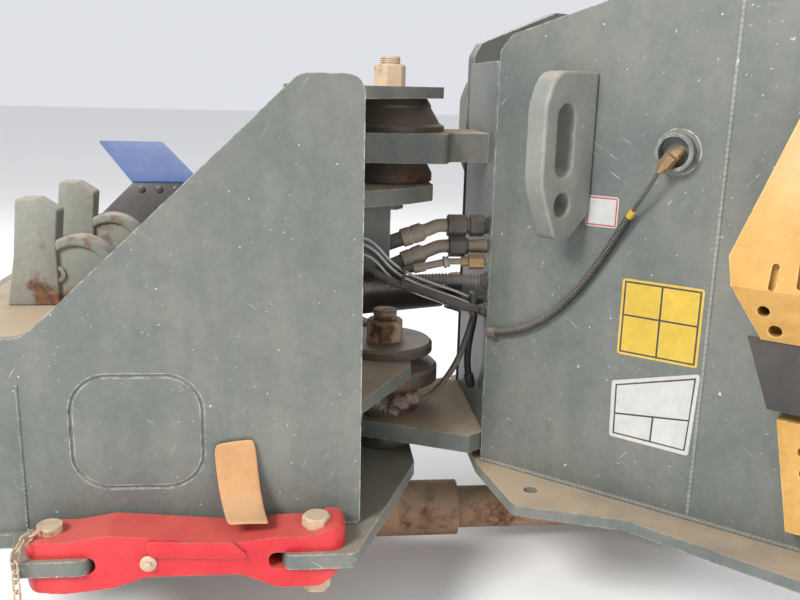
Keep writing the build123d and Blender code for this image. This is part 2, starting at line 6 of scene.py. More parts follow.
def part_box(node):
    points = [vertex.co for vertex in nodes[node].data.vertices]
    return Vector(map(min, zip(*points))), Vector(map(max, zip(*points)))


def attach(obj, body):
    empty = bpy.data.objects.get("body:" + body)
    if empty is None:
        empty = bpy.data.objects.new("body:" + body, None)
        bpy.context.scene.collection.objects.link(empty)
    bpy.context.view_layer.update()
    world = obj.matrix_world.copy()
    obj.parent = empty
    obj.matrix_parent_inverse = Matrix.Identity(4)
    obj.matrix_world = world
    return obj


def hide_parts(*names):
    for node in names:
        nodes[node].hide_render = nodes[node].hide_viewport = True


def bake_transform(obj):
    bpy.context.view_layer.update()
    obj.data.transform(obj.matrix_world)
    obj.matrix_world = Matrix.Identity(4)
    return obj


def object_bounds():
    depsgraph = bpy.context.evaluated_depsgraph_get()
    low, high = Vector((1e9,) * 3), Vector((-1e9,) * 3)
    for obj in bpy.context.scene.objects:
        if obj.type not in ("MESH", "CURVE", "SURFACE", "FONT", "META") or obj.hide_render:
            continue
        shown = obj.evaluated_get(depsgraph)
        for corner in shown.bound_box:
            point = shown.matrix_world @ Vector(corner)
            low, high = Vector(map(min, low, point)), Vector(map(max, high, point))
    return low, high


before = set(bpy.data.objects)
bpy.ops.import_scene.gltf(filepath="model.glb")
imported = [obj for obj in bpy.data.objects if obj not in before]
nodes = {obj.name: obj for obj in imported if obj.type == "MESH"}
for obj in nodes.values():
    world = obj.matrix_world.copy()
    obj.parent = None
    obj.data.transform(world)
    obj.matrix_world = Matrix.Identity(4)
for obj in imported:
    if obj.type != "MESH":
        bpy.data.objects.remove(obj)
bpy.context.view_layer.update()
scene = bpy.context.scene
scene.view_settings.view_transform = "Standard"

pivot = Vector((0.760, 0.0, 0.565))  # the pivot line on the mounting face's frame, level with the top plate


# A point given in millimetres from the pivot, as the part is drawn
def fromPivot(x, y, z):
    return pivot + Vector((x, y, z)) / 1000


def linked(thing):
    bpy.context.collection.objects.link(thing)
    return thing


# Camera, from the photograph's own angle; focus is the focal length over the picture's width
camera = {"place": (0.611, -1.70, 0.565), "pitch": 13.8, "heading": 6.0, "roll": 1.4, "focus": 870 / 800,
          "sensor": 36, "nearest": 0.01}


def makeCamera():
    pitch, heading, roll = (math.radians(camera[k]) for k in ("pitch", "heading", "roll"))
    ahead = Vector((math.sin(heading) * math.cos(pitch), math.cos(heading) * math.cos(pitch), -math.sin(pitch)))
    level = Vector((math.cos(heading), -math.sin(heading), 0))
    above = level.cross(ahead)
    right = level * math.cos(roll) + above * math.sin(roll)
    up = above * math.cos(roll) - level * math.sin(roll)
    data = bpy.data.cameras.new("camera")
    data.sensor_width = camera["sensor"]
    data.lens = camera["sensor"] * camera["focus"]
    data.clip_start = camera["nearest"]
    viewer = linked(bpy.data.objects.new("camera", data))
    stance = Matrix((right, up, -ahead)).transposed().to_4x4()
    stance.translation = Vector(camera["place"])
    viewer.matrix_world = stance
    scene.camera = viewer


makeCamera()
print("camera made")


# Cords: routes are listed points in millimetres from the pivot
cords = {
    "hoseUpper": {"d": 28, "blend": True, "stiff": "stiff", "finish": "hoseRubber", "route": [
        (38, -100, -270), (-16, -101, -289), (-72, -95, -309), (-115, -82, -322), (-150, -76, -326)]},
    "hoseLower": {"d": 28, "blend": True, "stiff": "stiff", "finish": "hoseRubber", "route": [
        (40, -104, -311), (-12, -107, -333), (-66, -104, -352), (-112, -96, -362), (-150, -92, -364)]},
    "hoseSmall": {"d": 14, "blend": True, "stiff": "stiff", "finish": "hoseRubber", "route": [
        (53, -130, -325), (25, -131, -330), (-8, -130, -342), (-48, -128, -360), (-92, -130, -376),
        (-126, -133, -386), (-150, -135, -389)]},
    "loomConduit": {"d": 16, "blend": True, "stiff": "medium", "finish": "ribbedBlack",
                    "ribs": 5.2, "route": [
        (-150, -182, -302), (-118, -183, -300), (-84, -184, -302), (-54, -185, -312), (-32, -185, -327),
        (-10, -184, -339), (15, -181, -348), (43, -177, -356), (80, -170, -371), (120, -158, -390),
        (150, -140, -401), (172, -124, -408)]},
    "greyConduit": {"d": 22, "blend": True, "stiff": "medium", "finish": "ribbedGrey",
                    "ribs": 6.4, "route": [
        (-150, -172, -350), (-112, -172, -352), (-70, -168, -356), (-28, -158, -354), (14, -146, -347),
        (56, -134, -348), (98, -128, -347), (140, -124, -350), (172, -120, -354)]},
    "greaseHose": {"d": 12, "stiff": "medium", "finish": "hoseRubber", "route": [
        (40, -100, -600), (66, -101, -597), (90, -106, -580), (110, -112, -552), (131, -117, -514),
        (148, -112, -470), (160, -104, -430), (172, -96, -400)]},
    "loomDrop": {"d": 14, "stiff": "limp", "finish": "ribbedBlack", "ribs": 3.2, "route": [
        (150, -121, -388), (160, -108, -402), (165, -95, -424), (164, -86, -450), (160, -80, -480),
        (158, -77, -514), (160, -74, -547), (170, -70, -580)]},
    "glandWire": {"d": 6, "stiff": "medium", "finish": "hoseRubber", "route": [
        (407, -387, -96), (396, -382.5, -112), (389, -379, -124), (381, -368, -149), (373, -352, -174),
        (368, -339, -192)]},
    "glandConduit": {"d": 14, "stiff": "medium", "finish": "ribbedBlack", "ribs": 5.0, "route": [
        (366, -334, -199), (357, -321, -226), (346, -310, -254), (334, -300, -281), (321, -289, -308),
        (307, -277.5, -335), (291, -264, -360), (274, -250, -383), (255, -234, -403), (233, -216, -420),
        (208, -195, -432), (186, -177, -438)]},
}
wireRoute = [(-150, -150, -280), (-118, -154, -272), (-84, -160, -262), (-52, -165, -264), (-30, -166, -280),
             (-12, -165, -302), (12, -163, -322), (42, -158, -338), (82, -150, -354), (122, -140, -369),
             (146, -126, -382)]
wireSteps = ((0, 0), (-7, -11), (2, -19), (-5, -29))
for index, (aside, down) in enumerate(wireSteps):
    cords["wire" + str(index + 1)] = {
        "d": 5, "blend": True, "stiff": "limp", "finish": "greyWire" if index != 2 else "hoseRubber",
        "route": [(x, y + aside, z + down) for x, y, z in wireRoute]}
cordObjects = {}


# Points along the route's smooth spline
def smoothLine(route):
    data = bpy.data.curves.new("line", "CURVE")
    data.dimensions = "3D"
    data.resolution_u = 12
    spline = data.splines.new("NURBS")
    spline.points.add(len(route) - 1)
    for point, place in zip(spline.points, route):
        point.co = (*fromPivot(*place), 1)
    spline.order_u = 3
    spline.use_endpoint_u = True
    holder = linked(bpy.data.objects.new("line", data))
    bpy.context.view_layer.update()
    mesh = bpy.data.meshes.new_from_object(holder)
    line = [v.co.copy() for v in mesh.vertices]
    bpy.data.objects.remove(holder)
    return line


# The same line with points a fixed step apart
def evenly(line, step):
    length = sum((b - a).length for a, b in zip(line, line[1:]))
    count = max(8, round(length / step))
    spots, run, k = [line[0].copy()], 0.0, 0
    for i in range(1, count):
        target = length * i / count
        while k < len(line) - 2 and run + (line[k + 1] - line[k]).length < target:
            run += (line[k + 1] - line[k]).length
            k += 1
        piece = line[k + 1] - line[k]
        spots.append(line[k] + piece * ((target - run) / piece.length))
    return spots + [line[-1].copy()], length


tube = {"step": 0.006, "ribSteps": 4, "groove": 0.78}  # a ribbed tube is drawn in four steps for each rib


# Closed round tube along a line; ribs is the pitch in millimetres of the rings moulded round it, or None
def tubeMesh(name, line, radius, ribs=None, sides=18):
    spots, length = evenly(line, ribs / (1000 * tube["ribSteps"]) if ribs else tube["step"])
    verts, faces = [], []
    across = None
    for i, spot in enumerate(spots):
        ahead = (spots[min(i + 1, len(spots) - 1)] - spots[max(i - 1, 0)]).normalized()
        across = ahead.orthogonal() if across is None else across - ahead * across.dot(ahead)
        across.normalize()
        beside = ahead.cross(across)
        inGroove = ribs and i % tube["ribSteps"] >= 2
        reach = radius * tube["groove"] if inGroove else radius
        for k in range(sides):
            turn = 2 * math.pi * k / sides
            verts.append(spot + (across * math.cos(turn) + beside * math.sin(turn)) * reach)
    for i in range(len(spots) - 1):
        for k in range(sides):
            a, b = i * sides + k, i * sides + (k + 1) % sides
            faces.append((a, b, b + sides, a + sides))
    faces.append(tuple(range(sides))[::-1])
    faces.append(tuple(range((len(spots) - 1) * sides, len(spots) * sides)))
    mesh = bpy.data.meshes.new(name)
    mesh.from_pydata([tuple(v) for v in verts], [], faces)
    mesh.update()
    piece = linked(bpy.data.objects.new(name, mesh))
    for face in mesh.polygons:
        face.use_smooth = len(face.vertices) == 4
    return piece, length


# Runs from one frame end to the other, so it is fixed to no body; its placement is baked into its mesh
def crossing(piece):
    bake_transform(piece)


def makeCords():
    for name, c in cords.items():
        line = smoothLine(c["route"])
        sides = 12 if c["d"] < 8 else 18
        cord, length = tubeMesh(name, line, c["d"] / 2000, c.get("ribs"), sides)
        if c.get("blend"):
            crossing(cord)
        else:
            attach(cord, "rear_frame")
        cordObjects[name] = cord


makeCords()
print("cords made")

# Materials: one wear group shared by the paints and metals, with named strengths
# Link a node's inputs, or set them to constants
def feed(tree, node, inputs):
    for socket, source in inputs.items():
        if isinstance(source, bpy.types.NodeSocket):
            tree.links.new(source, node.inputs[socket])
        else:
            node.inputs[socket].default_value = source


def addNode(tree, kind, inputs={}, **values):
    node = tree.nodes.new(kind)
    for key, value in values.items():
        setattr(node, key, value)
    feed(tree, node, inputs)
    return node


def math2(tree, operation, a, b, clamp=False):
    return addNode(tree, "ShaderNodeMath", {0: a, 1: b}, operation=operation, use_clamp=clamp).outputs[0]


def mixColour(tree, factor, a, b, blendType="MIX"):
    return addNode(tree, "ShaderNodeMix", {0: factor, 6: a, 7: b}, data_type="RGBA", blend_type=blendType).outputs[2]


def noiseAt(tree, where, scale, detail=4.0, rough=0.55):
    given = {"Vector": where, "Scale": scale, "Detail": detail, "Roughness": rough}
    return addNode(tree, "ShaderNodeTexNoise", given).outputs["Fac"]


def ramp(tree, value, low, high, outLow=0.0, outHigh=1.0):
    given = {"Value": value, "From Min": low, "From Max": high, "To Min": outLow, "To Max": outHigh}
    return addNode(tree, "ShaderNodeMapRange", given).outputs[0]


# The place turned by angles in degrees, then stretched
def turned(tree, where, scale, rotation):
    swung = addNode(tree, "ShaderNodeMapping", {"Vector": where, "Rotation": [math.radians(a) for a in rotation]})
    return addNode(tree, "ShaderNodeMapping", {"Vector": swung.outputs[0], "Scale": scale}).outputs[0]


# Wear: noises as scale, detail and roughness; ranges as from, to, and what they give at either end
wearNoise = {"blotch": (5.0, 6.0, 0.6), "fine": (60.0, 5.0, 0.7), "patch": (11.0, 8.0, 0.65), "chips": (92.0, 3.0),
             "specks": (210.0, 1.0)}
wearRange = {"tint": (0.3, 0.7, 0.0, 0.07), "shade": (0.25, 0.75, 0.80, 1.08), "grain": (0.3, 0.7, -0.09, 0.09),
             "streak": (0.3, 0.7, 0.95, 1.06), "rustTone": (0.35, 0.65), "upward": (0.35, 0.95),
             "settled": (0.2, 0.6, 0.45, 1.0), "film": (0.2, 0.42, 0.0, 0.22), "line": (0.72, 0.76),
             "broken": (0.52, 0.58), "chips": (0.715, 0.735), "specks": (0.775, 0.80), "chipArea": (0.42, 0.52),
             "edge": (0.985, 0.86), "edgeGrain": (0.40, 0.58)}
streaks = {"stretch": (9, 9, 1.2), "noise": (2.2, 5.0)}
scratches = {"stretch": (2.5, 2.5, 210), "runs": ((58, 3.1), (-37, 2.3)), "breaks": 14.0, "detail": 2.0}
wearMix = {"rustStreak": 0.25, "rustStart": 0.98, "rustReach": 0.62, "rustSoft": 0.10, "dulled": 0.35,
           "grainHeight": 0.35, "rustHeight": 0.5, "bareDepth": 0.3, "edgeRadius": 0.0035}
tan = (0.40, 0.305, 0.205, 1)
rustRed = (0.21, 0.085, 0.035, 1)
rustDark = (0.055, 0.024, 0.013, 1)


# Paint or metal with blotches, settled dust, rust, scratches, chips and worn edges
def wearGroup():
    tree = bpy.data.node_groups.new("workWear", "ShaderNodeTree")
    for side, kind, names in (("INPUT", "Color", ("Paint", "Dust", "Bare", "Rust")),
                              ("INPUT", "Float", ("Dustiness", "Rustiness", "Scratches", "Edges", "Gloss Roughness")),
                              ("OUTPUT", "Color", ("Color",)), ("OUTPUT", "Float", ("Roughness", "Height"))):
        for name in names:
            tree.interface.new_socket(name=name, in_out=side, socket_type="NodeSocket" + kind)
    given = addNode(tree, "NodeGroupInput").outputs
    result = addNode(tree, "NodeGroupOutput")
    place = addNode(tree, "ShaderNodeTexCoord").outputs["Object"]
    normal = addNode(tree, "ShaderNodeNewGeometry").outputs["Normal"]
    noise = {name: noiseAt(tree, place, *values) for name, values in wearNoise.items()}
    blotch, fine = noise["blotch"], noise["fine"]
    streak = noiseAt(tree, turned(tree, place, streaks["stretch"], (0, 0, 0)), *streaks["noise"])

    def times(a, b, clamp=False):
        return math2(tree, "MULTIPLY", a, b, clamp)

    def plus(a, b, clamp=False):
        return math2(tree, "ADD", a, b, clamp)

    def most(a, b):
        return math2(tree, "MAXIMUM", a, b)

    def ranged(value, name):
        return ramp(tree, value, *wearRange[name])

    # paint, tinted and shaded
    colour = mixColour(tree, ranged(blotch, "tint"), given["Paint"], given["Dust"])
    shade = times(plus(ranged(blotch, "shade"), ranged(fine, "grain")), ranged(streak, "streak"))
    lift = addNode(tree, "ShaderNodeCombineColor", {0: shade, 1: shade, 2: shade})
    colour = mixColour(tree, 1.0, colour, lift.outputs[0], "MULTIPLY")
    # rust in patches, then the dust that lies on what faces up
    rustPatch = plus(noise["patch"], times(streak, wearMix["rustStreak"]))
    rustEdge = math2(tree, "SUBTRACT", wearMix["rustStart"], times(given["Rustiness"], wearMix["rustReach"]))
    rust = ramp(tree, rustPatch, rustEdge, plus(rustEdge, wearMix["rustSoft"]))
    colour = mixColour(tree, rust, colour, mixColour(tree, ranged(fine, "rustTone"), given["Rust"], rustDark))
    facing = addNode(tree, "ShaderNodeSeparateXYZ", {0: normal})
    settled = times(ranged(facing.outputs["Z"], "upward"), ranged(blotch, "settled"))
    film = ranged(times(blotch, streak), "film")
    dust = times(plus(settled, film, True), given["Dustiness"], True)
    colour = mixColour(tree, dust, colour, given["Dust"])
    # scratches, chips and worn edges show what is bare
    marks = times(ranged(noise["chips"], "chips"), ranged(blotch, "chipArea"))
    marks = most(marks, ranged(noise["specks"], "specks"))
    for angle, spread in scratches["runs"]:
        line = noiseAt(tree, turned(tree, place, scratches["stretch"], (0, angle, 0)), spread, scratches["detail"])
        broken = noiseAt(tree, place, scratches["breaks"] * spread, scratches["detail"])
        marks = most(marks, times(ranged(line, "line"), ranged(broken, "broken")))
    bevel = addNode(tree, "ShaderNodeBevel", {"Radius": wearMix["edgeRadius"]}, samples=4)
    corner = addNode(tree, "ShaderNodeVectorMath", {0: bevel.outputs[0], 1: normal}, operation="DOT_PRODUCT")
    edge = times(ranged(corner.outputs["Value"], "edge"), ranged(fine, "edgeGrain"))
    bare = most(times(marks, given["Scratches"], True), times(edge, given["Edges"], True))
    colour = mixColour(tree, bare, colour, given["Bare"])
    rough = plus(given["Gloss Roughness"], times(most(dust, rust), wearMix["dulled"]), True)
    height = plus(times(fine, wearMix["grainHeight"]), times(rust, wearMix["rustHeight"]))
    height = math2(tree, "SUBTRACT", height, times(bare, wearMix["bareDepth"]))
    feed(tree, result, {"Color": colour, "Roughness": rough, "Height": height})
    return tree


wear = wearGroup()
bumpReach = 0.0012
# Paint and bare colours, then dust, rust, scratches, edges, roughness, bump and metal
finishes = {
    "chassisPaint": ((0.112, 0.127, 0.116), (0.58, 0.58, 0.54), 0.34, 0.1, 0.75, 0.75, 0.42, 0.1, 0),
    "eyePaint": ((0.185, 0.2, 0.18), (0.55, 0.53, 0.47), 0.45, 0.22, 0.9, 0.95, 0.5, 0.2, 0),
    "dustyDeck": ((0.112, 0.127, 0.116), (0.42, 0.38, 0.32), 0.95, 0.25, 0.5, 0.8, 0.6, 0.2, 0),
    "rustySteel": ((0.5, 0.37, 0.25), (0.6, 0.5, 0.38), 0.75, 0.5, 0.4, 0.8, 0.6, 0.7, 0),
    "greasyIron": ((0.075, 0.062, 0.05), (0.16, 0.13, 0.1), 0.5, 0.5, 0.2, 0.4, 0.38, 0.5, 0),
    "castSteel": ((0.215, 0.22, 0.185), (0.45, 0.45, 0.4), 0.5, 0.5, 0.4, 0.5, 0.55, 0.9, 0),
    "rustyTube": ((0.34, 0.2, 0.12), (0.45, 0.33, 0.24), 0.55, 0.55, 0.3, 0.4, 0.65, 0.7, 0),
    "redPaint": ((0.55, 0.006, 0.018), (0.24, 0.12, 0.11), 0.22, 0.3, 1, 0.95, 0.33, 0.25, 0),
    "darkPaint": ((0.075, 0.068, 0.066), (0.2, 0.19, 0.17), 0.5, 0.25, 0.5, 0.6, 0.4, 0.2, 0),
    "platedSteel": ((0.17, 0.145, 0.115), (0.42, 0.38, 0.31), 0.45, 0.32, 0.3, 0.7, 0.42, 0.2, 0.35),
    "dustySteel": ((0.3, 0.25, 0.19), (0.5, 0.47, 0.4), 0.6, 0.12, 0.3, 0.6, 0.5, 0.25, 0),
    # blue base colour of the far guard's flange: a painted sky reflection, not the paint's own colour
    "guardSkyReflection": ((0.035, 0.095, 0.27), (0.3, 0.3, 0.3), 0.12, 0.05, 0.3, 0.4, 0.6, 0.1, 0),
    "yellowStep": ((0.5, 0.27, 0.055), (0.78, 0.62, 0.34), 0.25, 0, 0.35, 0.7, 0.45, 0.3, 0),
    "hoseRubber": ((0.062, 0.055, 0.047), (0.16, 0.14, 0.12), 0.65, 0, 0.3, 0.2, 0.55, 0.3, 0),
    "ribbedBlack": ((0.022, 0.022, 0.023), (0.14, 0.12, 0.1), 0.45, 0, 0.1, 0.5, 0.45, 0.2, 0),
    "ribbedGrey": ((0.13, 0.125, 0.12), (0.34, 0.32, 0.29), 0.6, 0, 0.1, 0.7, 0.5, 0.2, 0),
    "greyWire": ((0.4, 0.41, 0.41), (0.55, 0.52, 0.48), 0.4, 0, 0.2, 0.1, 0.45, 0.1, 0),
    "flapRubber": ((0.018, 0.018, 0.018), (0.1, 0.09, 0.08), 0.25, 0, 0.3, 0.5, 0.6, 0.3, 0),
    "strapTan": ((0.44, 0.235, 0.095), (0.6, 0.38, 0.2), 0.25, 0.12, 0.2, 0.5, 0.75, 0.6, 0),
    "brass": ((0.3, 0.19, 0.09), (0.62, 0.47, 0.24), 0.55, 0.35, 0.2, 0.6, 0.35, 0.2, 0.4),
    "polishedRod": ((0.55, 0.55, 0.54), (0.6, 0.6, 0.6), 0.15, 0, 0.2, 0.2, 0.18, 0.02, 1),
    "plateWhite": ((0.46, 0.46, 0.44), (0.45, 0.42, 0.38), 0.35, 0, 0.5, 0.6, 0.4, 0.03, 0),
    "plateYellow": ((0.56, 0.37, 0.03), (0.4, 0.36, 0.28), 0.28, 0, 0.45, 0.5, 0.4, 0.03, 0),
    "plateBlack": ((0.02, 0.02, 0.02), (0.25, 0.23, 0.2), 0.15, 0, 0.3, 0.4, 0.45, 0.03, 0),
    "plateRed": ((0.4, 0.035, 0.03), (0.45, 0.42, 0.38), 0.15, 0, 0.3, 0.4, 0.4, 0.03, 0),
}
made = {}


# The material of that name, made once
def finish(name):
    if name in made:
        return made[name]
    paint, bare, dust, rust, scratch, edge, rough, bump, metal = finishes[name]
    material = bpy.data.materials.new(name)
    material.use_nodes = True
    tree = material.node_tree
    shader = tree.nodes["Principled BSDF"]
    given = {"Paint": (*paint, 1), "Dust": tan, "Bare": (*bare, 1), "Rust": rustRed, "Dustiness": dust,
             "Rustiness": rust, "Scratches": scratch, "Edges": edge, "Gloss Roughness": rough}
    worn = addNode(tree, "ShaderNodeGroup", given, node_tree=wear).outputs
    raised = addNode(tree, "ShaderNodeBump", {"Strength": bump, "Distance": bumpReach, "Height": worn["Height"]})
    feed(tree, shader, {"Base Color": worn["Color"], "Roughness": worn["Roughness"], "Normal": raised.outputs[0],
                        "Metallic": metal})
    made[name] = material
    return material


nodeFinish = {
    "rustySteel": ["upper_pivot_pin", "upper_pivot_nut", "lower_pivot_pin", "lower_pivot_nut", "ram_front_pin",
                   "ram_rear_pin", "lock_bolt", "stow_pin"],
    "greasyIron": ["upper_dirt_cone", "upper_seal_ring", "lower_bearing_housing", "lower_seal_ring",
                   "lower_pivot_cap"],
    "castSteel": ["skip_pivot_near", "skip_pivot_far"],
    "rustyTube": ["shaft_stub_front", "shaft_stub_rear", "shaft_front", "shaft_rear"],
    "dustyDeck": ["clevis_plate", "lower_lug", "upper_lug", "upper_ear", "front_deck", "rear_floor", "upper_plate",
                  "front_gussets"],
    "redPaint": ["lock_bar"], "polishedRod": ["steering_ram_rod"], "darkPaint": ["steering_ram_tube"],
}


# Every CAD node gets its finish; what isn't listed is chassis paint
def dressNodes():
    given = {node: name for name, listed in nodeFinish.items() for node in listed}
    for name, thing in nodes.items():
        thing.data.materials.clear()
        thing.data.materials.append(finish(given.get(name, "chassisPaint")))
    for name, cord in cordObjects.items():
        cord.data.materials.append(finish(cords[name]["finish"]))


dressNodes()
print("materials made")

# Modelling helpers: every piece starts as a primitive, is shaped in edit mode and placed in its mesh
def startPrimitive(adder, **values):
    bpy.ops.object.select_all(action="DESELECT")
    adder(location=(0, 0, 0), **values)
    return bpy.context.object


def useModifier(piece, kind, **values):
    bpy.context.view_layer.objects.active = piece
    modifier = piece.modifiers.new("shape", kind)
    for key, value in values.items():
        setattr(modifier, key, value)
    bpy.ops.object.modifier_apply(modifier=modifier.name)


# Rounds the edges that are sharper than the angle; the width is in the piece's own unit
def soften(piece, width, segments, sharp):
    useModifier(piece, "BEVEL", width=width, segments=segments, limit_method="ANGLE", angle_limit=math.radians(sharp))


def editAll():
    bpy.ops.object.mode_set(mode="EDIT")
    bpy.ops.mesh.select_all(action="SELECT")


# Outward faces and soft shading below an angle, on the active piece
def closeUp(smoothAngle=35):
    editAll()
    bpy.ops.mesh.normals_make_consistent(inside=False)
    bpy.ops.object.mode_set(mode="OBJECT")
    if smoothAngle:
        bpy.ops.object.shade_smooth_by_angle(angle=math.radians(smoothAngle))


# The matrix that carries a piece drawn along Z in millimetres to a line from start to end
def alongLine(start, end):
    a, b = fromPivot(*start), fromPivot(*end)
    matrix = (b - a).to_track_quat("Z", "Y").to_matrix().to_4x4()
    matrix.translation = a
    return matrix @ Matrix.Scale(0.001, 4)


def copied(piece):
    twin = piece.copy()
    twin.data = piece.data.copy()
    return linked(twin)


# The same piece on the far side; the mirror turns its faces inwards, so they are flipped back
def mirrored(piece):
    twin = copied(piece)
    twin.data.transform(Matrix.Scale(-1, 4, (0, 1, 0)))
    twin.data.flip_normals()
    return twin


# The near rear plate, at its angle in degrees to the line of travel
plate = {"angle": 40, "y": -7}


# A spot on it, in millimetres from the pivot
def onPlate(along, up, out=0.0):
    turn = math.radians(plate["angle"])
    c, s = math.cos(turn), math.sin(turn)
    return (along * c - out * s, plate["y"] - along * s - out * c, up)


# The plate's own frame: X along it, Y into it, Z up, in millimetres
def plateFrame():
    turn = math.radians(plate["angle"])
    c, s = math.cos(turn), math.sin(turn)
    matrix = Matrix(((c, s, 0, 0), (-s, c, 0, 0), (0, 0, 1, 0), (0, 0, 0, 1)))
    matrix.translation = fromPivot(*onPlate(0, 0))
    return matrix @ Matrix.Scale(0.001, 4)


pivotFrame = Matrix.Translation(pivot) @ Matrix.Scale(0.001, 4)
sideFrame = plateFrame()


# Drawn in side view (X along, Y up) of a frame, raised towards its near side from y
def standing(base, y):
    return base @ Matrix(((1, 0, 0, 0), (0, 0, -1, y), (0, 1, 0, 0), (0, 0, 0, 1)))


# The near rear plate's outer face, drawn as (along, up) and raised outwards
def faceFrame(out=0.0):
    return standing(sideFrame, -out)


def uprightFrame(y):
    return standing(pivotFrame, y)


# A section drawn as (out, up) is raised along the plate
def sectionFrame(along):
    return sideFrame @ Matrix(((0, 0, 1, along), (-1, 0, 0, 0), (0, 1, 0, 0), (0, 0, 0, 1)))


# Corners of a rectangle
def boxed(left, top, right, bottom):
    return ((left, top), (right, top), (right, bottom), (left, bottom))


# Corners given as (x, y, radius) become short arcs
def rounded(corners, steps=6):
    points = []
    count = len(corners)
    for i, (x, y, radius) in enumerate(corners):
        here = Vector((x, y))
        if radius <= 0:
            points.append((x, y))
            continue
        before = Vector(corners[i - 1][:2]) - here
        after = Vector(corners[(i + 1) % count][:2]) - here
        half = before.angle(after) / 2
        reach = min(radius / math.tan(half), 0.48 * before.length, 0.48 * after.length)
        radius = reach * math.tan(half)
        centre = here + (before.normalized() + after.normalized()).normalized() * (radius / math.sin(half))
        first = here + before.normalized() * reach - centre
        last = here + after.normalized() * reach - centre
        turn = first.angle_signed(last)
        for k in range(steps + 1):
            spoke = first.copy()
            spoke.rotate(Matrix.Rotation(-turn * k / steps, 2))
            points.append(tuple(centre + spoke))
    return points


# Round or many-sided piece drawn up Z: rings are (height, radius)
def ringsPiece(rings, matrix, sides=28):
    height, radius = rings[0]
    piece = startPrimitive(bpy.ops.mesh.primitive_circle_add, vertices=sides, radius=radius, fill_type="NGON")
    editAll()
    bpy.ops.transform.translate(value=(0, 0, height))
    for top, reach in rings[1:]:
        bpy.ops.mesh.extrude_region_move(TRANSFORM_OT_translate={"value": (0, 0, top - height)})
        bpy.ops.transform.resize(value=(reach / radius, reach / radius, 1), center_override=(0, 0, top))
        height, radius = top, reach
    bpy.ops.object.mode_set(mode="OBJECT")
    closeUp()
    piece.data.transform(matrix)
    return piece


# Flat plate of any outline, drawn on XY and raised along Z
def outlinePiece(corners, thickness, matrix, bevel=1.5, segments=2):
    piece = startPrimitive(bpy.ops.mesh.primitive_circle_add, vertices=len(corners), radius=1, fill_type="NGON")
    for corner, (x, y) in zip(piece.data.vertices, corners):
        corner.co = (x, y, 0)
    editAll()
    bpy.ops.mesh.extrude_region_move(TRANSFORM_OT_translate={"value": (0, 0, thickness)})
    bpy.ops.object.mode_set(mode="OBJECT")
    closeUp(0)
    if bevel:
        soften(piece, bevel, segments, 40)
    closeUp()
    piece.data.transform(matrix)
    return piece


# Rounded block
def blockPiece(centre, size, bevel, matrix, segments=3):
    piece = startPrimitive(bpy.ops.mesh.primitive_cube_add, size=1)
    for corner in piece.data.vertices:
        corner.co = [c + p * s for c, p, s in zip(centre, corner.co, size)]
    useModifier(piece, "BEVEL", width=bevel, segments=segments)
    closeUp()
    piece.data.transform(matrix)
    return piece


# Hexagon nut with turned-down corners
def nutPiece(flats, start, end):
    length = (Vector(end) - Vector(start)).length
    reach, worn, chamfer = flats / math.sqrt(3), flats / math.sqrt(3) * 0.90, flats * 0.05
    rings = [(0, worn), (chamfer, reach), (length - chamfer, reach), (length, worn)]
    return ringsPiece(rings, alongLine(start, end), 6)


# Join shapes that share a finish
def merged(name, pieces, finishName):
    bpy.ops.object.select_all(action="DESELECT")
    for piece in pieces:
        piece.select_set(True)
    piece = pieces[0]
    bpy.context.view_layer.objects.active = piece
    if len(pieces) > 1:
        bpy.ops.object.join()
    piece.name = name
    piece.data.materials.clear()
    piece.data.materials.append(finish(finishName))
    return piece


# The same, fixed to a body
def joined(name, pieces, finishName, body):
    piece = merged(name, pieces, finishName)
    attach(piece, body)
    return piece


# A part from start to end: a nut if a width over flats is given, or else rings round the line
def fitting(shape, start, end, sides=28):
    if isinstance(shape, tuple):
        return ringsPiece(shape, alongLine(start, end), sides)
    return nutPiece(shape, start, end)


# Pieces of the rear frame that are made of such parts only
def makeFittings(table):
    for name, piece in table.items():
        joined(name, [fitting(*part) for part in piece["parts"]], piece["finish"], "rear_frame")


def cutWith(piece, cutter, operation):
    useModifier(piece, "BOOLEAN", object=cutter, operation=operation, solver="EXACT")
    bpy.data.objects.remove(cutter)


# Round pipe through given points, bent smoothly
def pipePiece(route, radius):
    return tubeMesh("pipe", smoothLine(route), radius / 1000, None, 20)[0]


# Hose ends on the front web: a nut from the web to the cord's end, and a collar over it
frontNuts = {"face": -170, "nuts": (("hoseUpper", 38), ("hoseLower", 38), ("hoseSmall", 24)),
             "conduits": (("loomConduit", 24), ("greyConduit", 30)),
             "collar": ((0, 0.46), (3, 0.47), (12, 0.43), (14, 0.40)), "grommet": ((0, 6), (14, 5.5), (20, 4))}


def makeFrontNuts():
    f = frontNuts
    shapes = []
    ends = [(cords[cord]["route"][-1], flats) for cord, flats in f["nuts"]]
    ends += [(cords[cord]["route"][0], flats) for cord, flats in f["conduits"]]
    for (x, y, z), flats in ends:
        shapes.append(fitting(flats, (f["face"], y, z), (x + 1, y, z)))
        collar = tuple((height, flats * part) for height, part in f["collar"])
        shapes.append(fitting(collar, (x, y, z), (x + 14, y, z)))
    for index in range(len(wireSteps)):
        x, y, z = cords["wire" + str(index + 1)]["route"][0]
        shapes.append(fitting(f["grommet"], (f["face"], y, z), (x, y, z), 14))
    joined("hoseNutsFront", shapes, "platedSteel", "front_frame")


